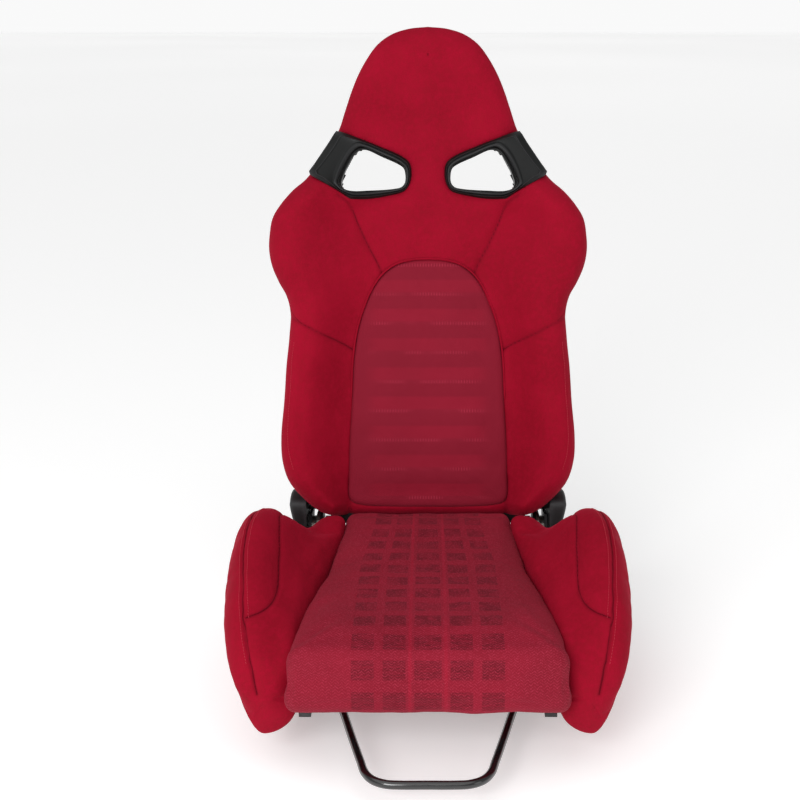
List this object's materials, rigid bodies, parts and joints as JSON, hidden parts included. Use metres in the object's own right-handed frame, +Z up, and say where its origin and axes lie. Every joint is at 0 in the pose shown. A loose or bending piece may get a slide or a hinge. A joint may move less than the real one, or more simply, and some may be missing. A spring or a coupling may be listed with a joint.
{
  "type": "racing seat",
  "caption": "Reclining bucket sport seat in red knit with black harness openings, on a slider with a front release bar.",
  "frame": {"origin": "centre of the seat's footprint, on the floor under the rail feet", "axes": "+Z up, -Y the way the sitter faces, +X the sitter's left"},
  "size_m": [0.584, 0.8425, 0.9873],
  "materials": {
    "red_knit": "matte brushed knit",
    "insert_weave": "matte woven",
    "black_steel": "satin powder coat",
    "zinc_steel": "zinc plated",
    "spring_steel": "oiled wire",
    "black_plastic": "satin moulded",
    "gloss_black": "gloss enamel"
  },
  "bodies": {
    "floor_rails": {"lower_rail_left": "zinc_steel", "lower_rail_right": "zinc_steel", "floor_foot_front_left": "black_steel", "floor_foot_front_right": "black_steel", "floor_foot_rear_left": "black_steel", "floor_foot_rear_right": "black_steel"},
    "seat_base": {"upper_rail_left": "zinc_steel", "upper_rail_right": "zinc_steel", "rail_riser_front_left": "black_steel", "rail_riser_front_right": "black_steel", "rail_riser_rear_left": "black_steel", "rail_riser_rear_right": "black_steel", "side_member_left": "black_steel", "side_member_right": "black_steel", "front_cross_tube": "black_steel", "rear_cross_tube": "black_steel", "seat_spring_1": "spring_steel", "seat_spring_2": "spring_steel", "seat_spring_3": "spring_steel", "seat_spring_4": "spring_steel", "seat_spring_5": "spring_steel", "seat_cushion": "insert_weave", "thigh_bolster_left": "red_knit", "thigh_bolster_right": "red_knit", "recliner_lower_plate_left": "black_steel", "recliner_lower_plate_right": "black_steel", "recliner_disc_left": "zinc_steel", "recliner_disc_right": "zinc_steel", "recline_spring_left": "spring_steel", "recline_spring_right": "spring_steel", "recliner_cover_left": "black_steel", "recliner_cover_right": "black_steel", "release_pin_left": "zinc_steel", "release_pin_right": "zinc_steel"},
    "backrest": {"recliner_upper_arm_left": "black_steel", "recliner_upper_arm_right": "black_steel", "back_side_tube_left": "black_steel", "back_side_tube_right": "black_steel", "back_lower_cross_tube": "black_steel", "back_upper_cross_tube": "black_steel", "head_post_tube": "black_steel", "lumbar_wire_1": "spring_steel", "lumbar_wire_2": "spring_steel", "lumbar_wire_3": "spring_steel", "back_foam": "red_knit", "back_insert": "insert_weave", "back_bolster_left": "red_knit", "back_bolster_right": "red_knit", "head_pad": "red_knit", "harness_trim_left": "black_plastic", "harness_trim_right": "black_plastic", "harness_bezel_rear_left": "black_plastic", "harness_bezel_rear_right": "black_plastic", "back_shell": "black_plastic"},
    "recline_handle": {"recline_shaft": "zinc_steel", "recline_lever": "black_steel", "recline_lever_grip": "black_plastic"},
    "release_bar": {"slide_release_bar": "gloss_black"}
  },
  "joints": [
    {"name": "seat_slide", "type": "slide", "parent": "floor_rails", "child": "seat_base", "axis": [0, -1, 0], "range_m": [-0.09, 0.09]},
    {"name": "recline", "type": "hinge", "parent": "seat_base", "child": "backrest", "pos_m": [0, 0.1715, 0.155], "axis": [-1, 0, 0], "range_deg": [-12, 60]},
    {"name": "recline_release", "type": "hinge", "parent": "seat_base", "child": "recline_handle", "pos_m": [0, 0.1715, 0.155], "axis": [-1, 0, 0], "range_deg": [0, 20], "stiffness_Nm_per_rad": 3},
    {"name": "slide_release", "type": "hinge", "parent": "seat_base", "child": "release_bar", "pos_m": [0, -0.0675, 0.037], "axis": [-1, 0, 0], "range_deg": [0, 6], "stiffness_Nm_per_rad": 4}
  ]
}
